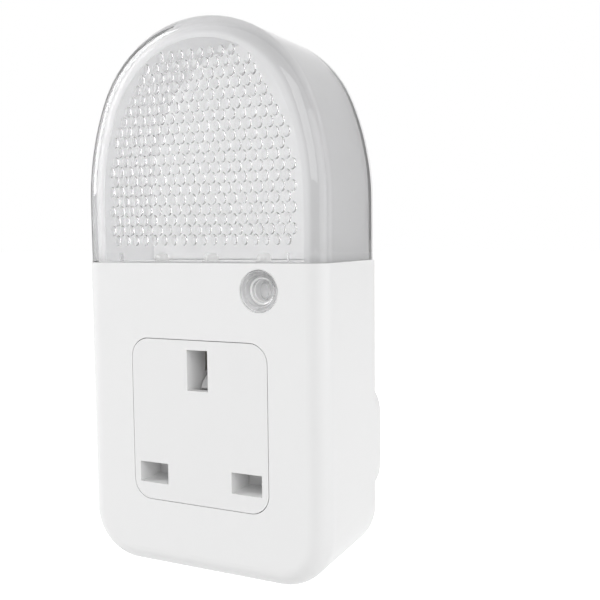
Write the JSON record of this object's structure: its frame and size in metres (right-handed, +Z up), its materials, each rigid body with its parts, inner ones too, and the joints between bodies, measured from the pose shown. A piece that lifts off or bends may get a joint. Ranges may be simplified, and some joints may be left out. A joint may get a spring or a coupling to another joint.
{
  "type": "plug in night light",
  "caption": "Plug-through night light: white case with a shuttered socket, clear arched lens with moulded domes, light sensor window and a rear three-pin plug.",
  "frame": {"origin": "plug face (back of the plug boss), midway between the line and neutral pins", "axes": "+X to the right of someone facing the light, +Y into the wall along the pins, +Z up"},
  "size_m": [0.0568, 0.0581, 0.1138],
  "materials": {
    "white_case": "fine satin moulded ABS",
    "white_insert": "satin moulded thermoset",
    "clear_lens": "clear moulded polycarbonate, gloss outside, moulded domes inside",
    "clear_window": "clear moulded polycarbonate",
    "pin_brass": "drawn and bevelled, lightly polished",
    "contact_brass": "stamped strip",
    "sleeve_black": "moulded sleeve",
    "spring_steel": "drawn spring wire",
    "screw_steel": "zinc plated",
    "tinned_wire": "tinned copper",
    "carrier_ivory": "moulded thermoset",
    "board_green": "fibreglass laminate with solder mask",
    "led_epoxy": "water-clear epoxy",
    "film_capacitor": "moulded box",
    "electrolytic": "shrink sleeve",
    "diode_black": "moulded body",
    "resistor_body": "lacquered",
    "transistor_black": "moulded body",
    "photocell_epoxy": "clear epoxy over a pale chip",
    "lead_brown": "insulated wire",
    "lead_blue": "insulated wire"
  },
  "bodies": {
    "housing": {"front_shell": "white_case", "rear_shell": "white_case", "lens_cover": "clear_lens", "socket_insert": "white_insert", "contact_carrier": "carrier_ivory", "shutter_spring": "spring_steel", "earth_contact": "contact_brass", "line_contact": "contact_brass", "neutral_contact": "contact_brass", "earth_pin": "pin_brass", "line_pin": "pin_brass", "neutral_pin": "pin_brass", "line_pin_sleeve": "sleeve_black", "neutral_pin_sleeve": "sleeve_black", "line_lead": "lead_brown", "neutral_lead": "lead_blue", "sensor_window": "clear_window", "photocell": "photocell_epoxy", "photocell_leads": "tinned_wire", "circuit_board": "board_green", "led_1": "led_epoxy", "led_2": "led_epoxy", "led_3": "led_epoxy", "led_legs": "tinned_wire", "dropper_capacitor": "film_capacitor", "smoothing_capacitor": "electrolytic", "rectifier_diodes": "diode_black", "resistors": "resistor_body", "switching_transistor": "transistor_black", "case_screws": "screw_steel", "insert_screws": "screw_steel", "carrier_screws": "screw_steel"},
    "shutter": {"shutter": "white_insert"}
  },
  "joints": [
    {"name": "shutter_slide", "type": "slide", "parent": "housing", "child": "shutter", "axis": [0, 0, -1], "range_m": [0, 0.005], "stiffness_N_per_m": 120, "springref_m": -0.006, "deforming": ["shutter_spring"]}
  ]
}
